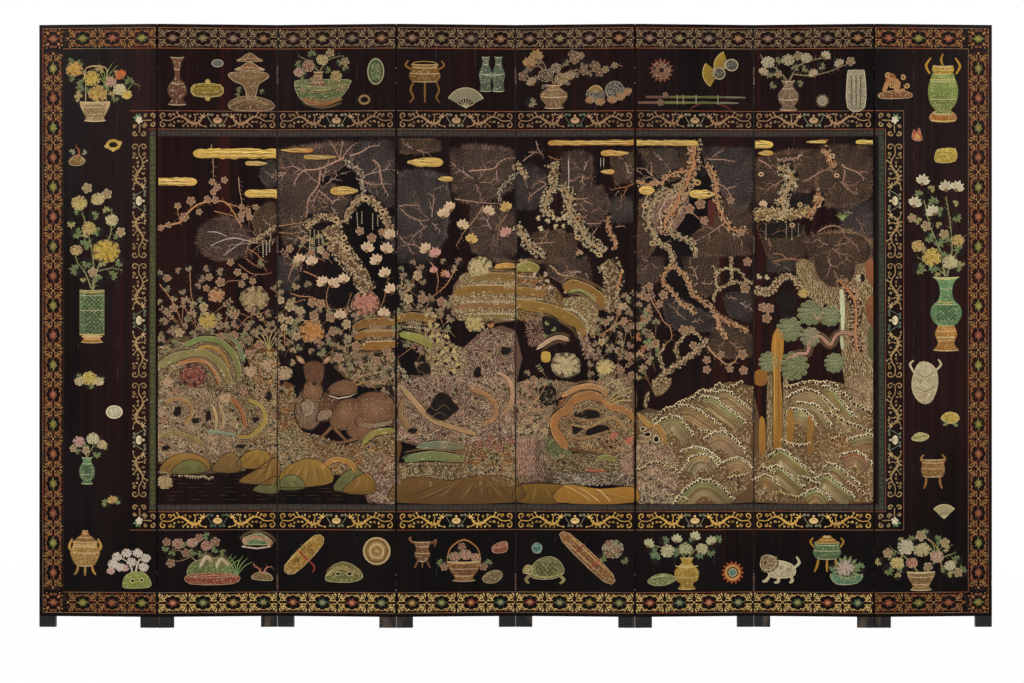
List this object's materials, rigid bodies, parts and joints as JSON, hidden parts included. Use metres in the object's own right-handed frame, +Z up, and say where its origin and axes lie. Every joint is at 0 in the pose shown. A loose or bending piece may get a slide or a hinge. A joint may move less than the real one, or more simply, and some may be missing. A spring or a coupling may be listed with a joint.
{
  "type": "folding screen",
  "caption": "Tall free-standing folding screen of hinged lacquered leaves with short block feet, incised border lines and lift-off pintle hinges.",
  "frame": {"origin": "middle of the footprint, on the floor under the feet", "axes": "+X along the row of leaves, to the right seen from the front; +Y towards the back; +Z up"},
  "size_m": [3.3238, 0.058, 2.1],
  "materials": {
    "lacquer": "aged black-brown lacquer over a clay ground, softly polished, with fine crazing",
    "core_boards": "softwood boards, stained and lacquered dark on the outer edges",
    "cleat_wood": "softwood cleats, lacquered dark on the outer edges",
    "bamboo": "bare split bamboo",
    "foot_wood": "black-lacquered hardwood, chipped and rubbed at the edges",
    "hinge_iron": "old forged iron, dark brown"
  },
  "bodies": {
    "leaf_1": {"leaf_1_boards": "core_boards", "leaf_1_pins": "bamboo", "leaf_1_cleats": "cleat_wood", "leaf_1_feet": "foot_wood", "leaf_1_lacquer": "lacquer", "seam_1_eyes": "hinge_iron"},
    "leaf_2": {"leaf_2_boards": "core_boards", "leaf_2_pins": "bamboo", "leaf_2_cleats": "cleat_wood", "leaf_2_feet": "foot_wood", "leaf_2_lacquer": "lacquer", "seam_2_eyes": "hinge_iron", "seam_1_pintles": "hinge_iron"},
    "leaf_3": {"leaf_3_boards": "core_boards", "leaf_3_pins": "bamboo", "leaf_3_cleats": "cleat_wood", "leaf_3_feet": "foot_wood", "leaf_3_lacquer": "lacquer", "seam_3_eyes": "hinge_iron", "seam_2_pintles": "hinge_iron"},
    "leaf_4": {"leaf_4_boards": "core_boards", "leaf_4_pins": "bamboo", "leaf_4_cleats": "cleat_wood", "leaf_4_feet": "foot_wood", "leaf_4_lacquer": "lacquer", "seam_4_eyes": "hinge_iron", "seam_3_pintles": "hinge_iron"},
    "leaf_5": {"leaf_5_boards": "core_boards", "leaf_5_pins": "bamboo", "leaf_5_cleats": "cleat_wood", "leaf_5_feet": "foot_wood", "leaf_5_lacquer": "lacquer", "seam_5_eyes": "hinge_iron", "seam_4_pintles": "hinge_iron"},
    "leaf_6": {"leaf_6_boards": "core_boards", "leaf_6_pins": "bamboo", "leaf_6_cleats": "cleat_wood", "leaf_6_feet": "foot_wood", "leaf_6_lacquer": "lacquer", "seam_6_eyes": "hinge_iron", "seam_5_pintles": "hinge_iron"},
    "leaf_7": {"leaf_7_boards": "core_boards", "leaf_7_pins": "bamboo", "leaf_7_cleats": "cleat_wood", "leaf_7_feet": "foot_wood", "leaf_7_lacquer": "lacquer", "seam_7_eyes": "hinge_iron", "seam_6_pintles": "hinge_iron"},
    "leaf_8": {"leaf_8_boards": "core_boards", "leaf_8_pins": "bamboo", "leaf_8_cleats": "cleat_wood", "leaf_8_feet": "foot_wood", "leaf_8_lacquer": "lacquer", "seam_7_pintles": "hinge_iron"}
  },
  "joints": [
    {"name": "seam_1_fold", "type": "hinge", "parent": "leaf_2", "child": "leaf_1", "pos_m": [-1.24654, -0.00613, 1], "axis": [0, 0, -1], "range_deg": [-10, 170]},
    {"name": "seam_2_fold", "type": "hinge", "parent": "leaf_3", "child": "leaf_2", "pos_m": [-0.83103, 0.00613, 1], "axis": [0, 0, 1], "range_deg": [-10, 170]},
    {"name": "seam_3_fold", "type": "hinge", "parent": "leaf_4", "child": "leaf_3", "pos_m": [-0.41551, -0.00613, 1], "axis": [0, 0, -1], "range_deg": [-10, 170]},
    {"name": "seam_4_fold", "type": "hinge", "parent": "leaf_4", "child": "leaf_5", "pos_m": [0, 0.00613, 1], "axis": [0, 0, -1], "range_deg": [-10, 170]},
    {"name": "seam_5_fold", "type": "hinge", "parent": "leaf_5", "child": "leaf_6", "pos_m": [0.41551, -0.00613, 1], "axis": [0, 0, 1], "range_deg": [-10, 170]},
    {"name": "seam_6_fold", "type": "hinge", "parent": "leaf_6", "child": "leaf_7", "pos_m": [0.83103, 0.00613, 1], "axis": [0, 0, -1], "range_deg": [-10, 170]},
    {"name": "seam_7_fold", "type": "hinge", "parent": "leaf_7", "child": "leaf_8", "pos_m": [1.24654, -0.00613, 1], "axis": [0, 0, 1], "range_deg": [-10, 170]}
  ]
}
